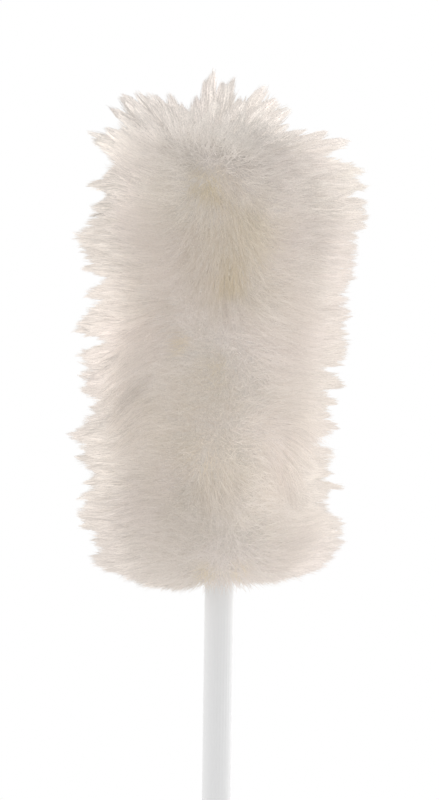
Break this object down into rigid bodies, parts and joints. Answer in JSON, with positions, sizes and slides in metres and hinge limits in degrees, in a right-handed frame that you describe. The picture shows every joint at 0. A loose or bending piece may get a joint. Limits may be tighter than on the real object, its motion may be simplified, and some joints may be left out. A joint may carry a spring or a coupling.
{
  "type": "lambswool duster",
  "caption": "Thick column of pale lambswool wound on a wooden core, on a white tube that slides in a wider tube and locks with a twist; grip and hanging hole at the lower end.",
  "frame": {"origin": "middle of the flat lower end of the end cap, on the axis of the tubes", "axes": "+Z along the tubes, up from the handle's end to the wool; the hanging hole runs along Y"},
  "size_m": [0.1556, 0.1529, 0.8776],
  "materials": {
    "tube_coating": "satin",
    "cap_plastic": "satin",
    "grip_plastic": "matte",
    "collar_plastic": "satin",
    "lock_plastic": "satin",
    "sleeve_plastic": "satin",
    "steel": "satin",
    "beech": "matte",
    "lambskin": "matte",
    "wool": "matte"
  },
  "bodies": {
    "handle": {"end_cap": "cap_plastic", "outer_tube": "tube_coating", "grip": "grip_plastic", "mouth_collar": "collar_plastic"},
    "sleeve": {"lock_sleeve": "sleeve_plastic"},
    "nut": {"draw_nut": "lock_plastic"},
    "mast": {"inner_tube": "tube_coating", "lock_plug": "lock_plastic", "stop_washer": "steel", "stop_screw": "steel", "head_core": "beech", "core_rivet": "steel", "hide_strip": "lambskin", "hide_crown": "lambskin", "strip_tack_low": "steel", "strip_tack_high": "steel", "crown_tack": "steel", "fleece": "wool", "crown_fleece": "wool"}
  },
  "joints": [
    {"name": "extend", "type": "slide", "parent": "handle", "child": "sleeve", "axis": [0, 0, 1], "range_m": [-0.11, 0.205]},
    {"name": "twist_lock", "type": "hinge", "parent": "sleeve", "child": "mast", "pos_m": [0, 0, 0.187], "axis": [0, 0, 1], "range_deg": [0, 270]},
    {"name": "nut_draw", "type": "slide", "parent": "sleeve", "child": "nut", "axis": [0, 0, 1], "range_m": [-0.00226, 0.00001]}
  ],
  "couplings": [
    {"joint": "nut_draw", "follows": "twist_lock", "m_per_rad": -0.00047746}
  ]
}
